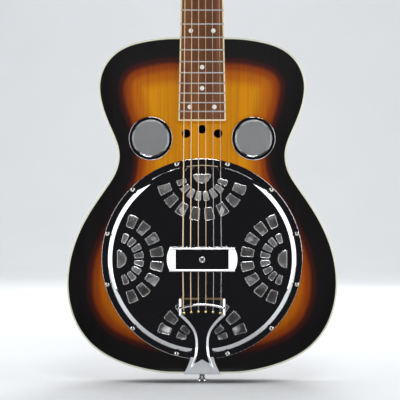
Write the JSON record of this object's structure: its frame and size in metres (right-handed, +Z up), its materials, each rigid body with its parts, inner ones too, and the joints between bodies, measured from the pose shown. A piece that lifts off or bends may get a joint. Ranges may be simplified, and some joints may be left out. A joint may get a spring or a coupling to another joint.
{
  "type": "resonator guitar",
  "caption": "Wood-bodied resonator guitar with a round perforated coverplate, spider bridge, two screened sound holes, tailpiece, long bound neck and geared tuners.",
  "frame": {"origin": "strap button seat, on the tailpiece's tab at the centre of the tail end", "axes": "+Z up the neck from the tail end to the headstock, the face with the strings towards -Y, +X towards the treble side; drawn standing upright as in use on a stand"},
  "size_m": [0.3872, 0.1117, 0.989],
  "materials": {
    "top_finish": "gloss sunburst lacquer, amber centre to black edge",
    "body_finish": "gloss dark mahogany-brown lacquer",
    "bare_wood": "unfinished",
    "cream_binding": "cream celluloid, gloss",
    "spun_aluminium": "spun, satin",
    "cast_aluminium": "as cast",
    "steel": "plain wire and rod",
    "maple": "unfinished",
    "chrome": "polished plating",
    "nickel_screws": "nickel plated",
    "wire_mesh": "woven wire cloth",
    "brass": "turned",
    "rosewood": "oiled",
    "fret_metal": "nickel silver, polished",
    "pearl": "mother of pearl",
    "bone": "polished bone",
    "black_veneer": "gloss black",
    "black_plastic": "gloss",
    "tuner_steel": "nickel plated",
    "bronze_wound": "bronze winding on steel core",
    "button_plastic": "cream plastic"
  },
  "bodies": {
    "guitar": {"top_plate": "top_finish", "back_plate": "body_finish", "bass_side": "body_finish", "treble_side": "body_finish", "neck": "body_finish", "neck_block": "bare_wood", "tail_block": "bare_wood", "top_linings": "bare_wood", "back_linings": "bare_wood", "soundwell": "bare_wood", "top_binding": "cream_binding", "back_binding": "cream_binding", "fingerboard_binding": "cream_binding", "cone": "spun_aluminium", "spider": "cast_aluminium", "tension_screw": "steel", "truss_rod": "steel", "string_1": "steel", "string_2": "steel", "saddle_inserts": "maple", "coverplate": "chrome", "palm_rest": "chrome", "screen_rings": "chrome", "tailpiece": "chrome", "strap_button": "chrome", "tuner_bushings": "chrome", "coverplate_screws": "nickel_screws", "strap_button_screw": "nickel_screws", "headstock_screws": "nickel_screws", "screen_meshes": "wire_mesh", "ball_ends": "brass", "fingerboard": "rosewood", "frets": "fret_metal", "position_markers": "pearl", "nut": "bone", "headstock_overlay": "black_veneer", "truss_rod_cover": "black_plastic", "tuner_plates": "tuner_steel", "string_3": "bronze_wound", "string_4": "bronze_wound", "string_5": "bronze_wound", "string_6": "bronze_wound"},
    "knob_1": {"tuner_worm_1": "tuner_steel", "tuner_button_1": "button_plastic"},
    "post_1": {"tuner_post_1": "tuner_steel"},
    "knob_2": {"tuner_worm_2": "tuner_steel", "tuner_button_2": "button_plastic"},
    "post_2": {"tuner_post_2": "tuner_steel"},
    "knob_3": {"tuner_worm_3": "tuner_steel", "tuner_button_3": "button_plastic"},
    "post_3": {"tuner_post_3": "tuner_steel"},
    "knob_4": {"tuner_worm_4": "tuner_steel", "tuner_button_4": "button_plastic"},
    "post_4": {"tuner_post_4": "tuner_steel"},
    "knob_5": {"tuner_worm_5": "tuner_steel", "tuner_button_5": "button_plastic"},
    "post_5": {"tuner_post_5": "tuner_steel"},
    "knob_6": {"tuner_worm_6": "tuner_steel", "tuner_button_6": "button_plastic"},
    "post_6": {"tuner_post_6": "tuner_steel"}
  },
  "joints": [
    {"name": "tuner_knob_1", "type": "hinge", "parent": "guitar", "child": "knob_1", "pos_m": [0.025, -0.01641, 0.83148], "axis": [1, 0, 0], "continuous": true},
    {"name": "string_post_1", "type": "hinge", "parent": "guitar", "child": "post_1", "pos_m": [0.025, -0.01469, 0.83837], "axis": [0, -0.9703, 0.2419], "continuous": true},
    {"name": "tuner_knob_2", "type": "hinge", "parent": "guitar", "child": "knob_2", "pos_m": [0.025, -0.0077, 0.86641], "axis": [1, 0, 0], "continuous": true},
    {"name": "string_post_2", "type": "hinge", "parent": "guitar", "child": "post_2", "pos_m": [0.025, -0.00598, 0.8733], "axis": [0, -0.9703, 0.2419], "continuous": true},
    {"name": "tuner_knob_3", "type": "hinge", "parent": "guitar", "child": "knob_3", "pos_m": [0.025, 0.00101, 0.90134], "axis": [1, 0, 0], "continuous": true},
    {"name": "string_post_3", "type": "hinge", "parent": "guitar", "child": "post_3", "pos_m": [0.025, 0.00272, 0.90823], "axis": [0, -0.9703, 0.2419], "continuous": true},
    {"name": "tuner_knob_4", "type": "hinge", "parent": "guitar", "child": "knob_4", "pos_m": [-0.025, 0.00101, 0.90134], "axis": [1, 0, 0], "continuous": true},
    {"name": "string_post_4", "type": "hinge", "parent": "guitar", "child": "post_4", "pos_m": [-0.025, 0.00272, 0.90823], "axis": [0, -0.9703, 0.2419], "continuous": true},
    {"name": "tuner_knob_5", "type": "hinge", "parent": "guitar", "child": "knob_5", "pos_m": [-0.025, -0.0077, 0.86641], "axis": [1, 0, 0], "continuous": true},
    {"name": "string_post_5", "type": "hinge", "parent": "guitar", "child": "post_5", "pos_m": [-0.025, -0.00598, 0.8733], "axis": [0, -0.9703, 0.2419], "continuous": true},
    {"name": "tuner_knob_6", "type": "hinge", "parent": "guitar", "child": "knob_6", "pos_m": [-0.025, -0.01641, 0.83148], "axis": [1, 0, 0], "continuous": true},
    {"name": "string_post_6", "type": "hinge", "parent": "guitar", "child": "post_6", "pos_m": [-0.025, -0.01469, 0.83837], "axis": [0, -0.9703, 0.2419], "continuous": true}
  ],
  "couplings": [
    {"joint": "string_post_1", "follows": "tuner_knob_1", "ratio": -0.071429},
    {"joint": "string_post_2", "follows": "tuner_knob_2", "ratio": -0.071429},
    {"joint": "string_post_3", "follows": "tuner_knob_3", "ratio": -0.071429},
    {"joint": "string_post_4", "follows": "tuner_knob_4", "ratio": -0.071429},
    {"joint": "string_post_5", "follows": "tuner_knob_5", "ratio": -0.071429},
    {"joint": "string_post_6", "follows": "tuner_knob_6", "ratio": -0.071429}
  ]
}
